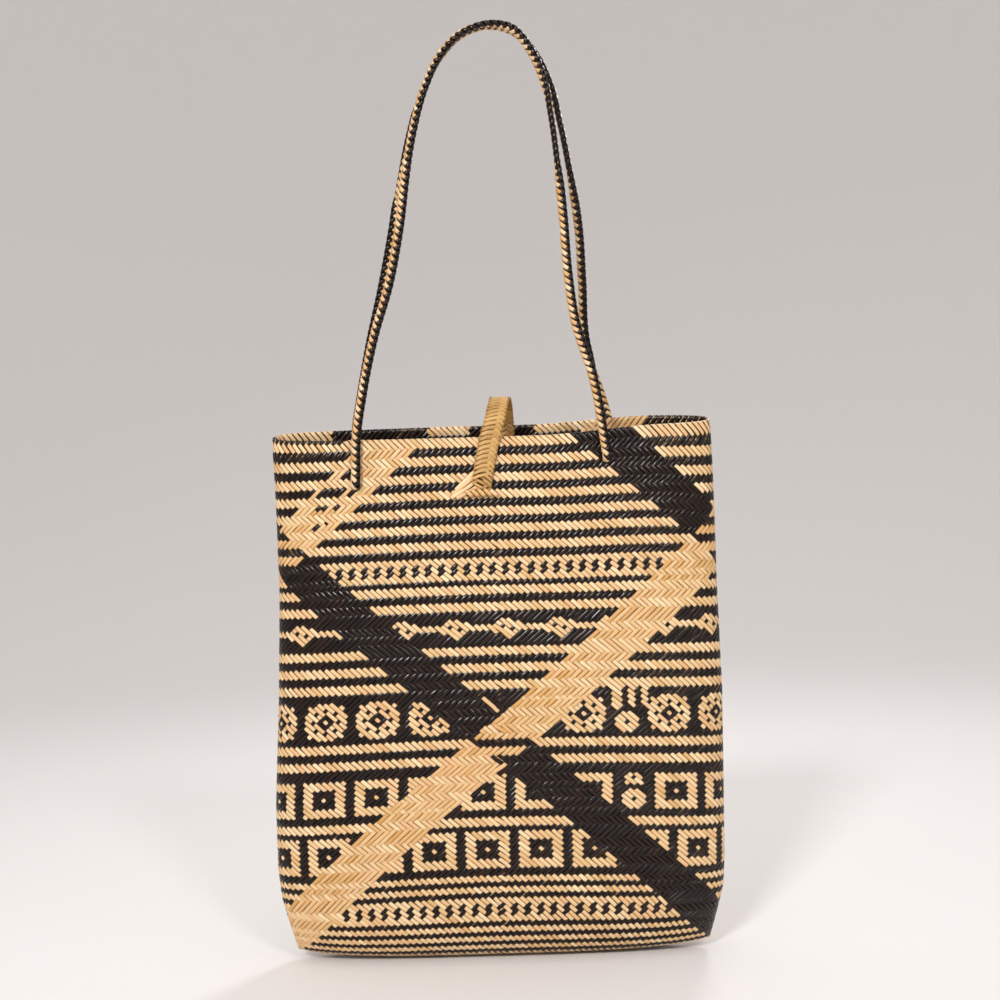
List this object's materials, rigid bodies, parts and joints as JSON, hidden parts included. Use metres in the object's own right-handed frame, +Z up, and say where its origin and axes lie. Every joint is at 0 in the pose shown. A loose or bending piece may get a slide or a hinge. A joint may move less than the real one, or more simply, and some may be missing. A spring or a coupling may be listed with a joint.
{
  "type": "plaited rattan shoulder bag",
  "caption": "Tall flat shoulder bag plaited from natural and black rattan strands, open at the top, with long plaited handles and a flat strap that holds the mouth shut.",
  "frame": {"origin": "the point under both handles at their highest, where a peg carries the hanging bag", "axes": "+Z up, +X to the right seen from the front, -Y out of the front wall"},
  "size_m": [0.309, 0.068, 0.6415],
  "materials": {
    "natural_rattan": "split rattan strands, scraped and semi-gloss",
    "black_rattan": "dyed split rattan strands, semi-gloss"
  },
  "bodies": {
    "root": {"bag_body": "natural_rattan", "front_handle": "black_rattan", "back_handle": "black_rattan", "closure_strap": "natural_rattan", "closure_loop": "natural_rattan"}
  },
  "joints": []
}
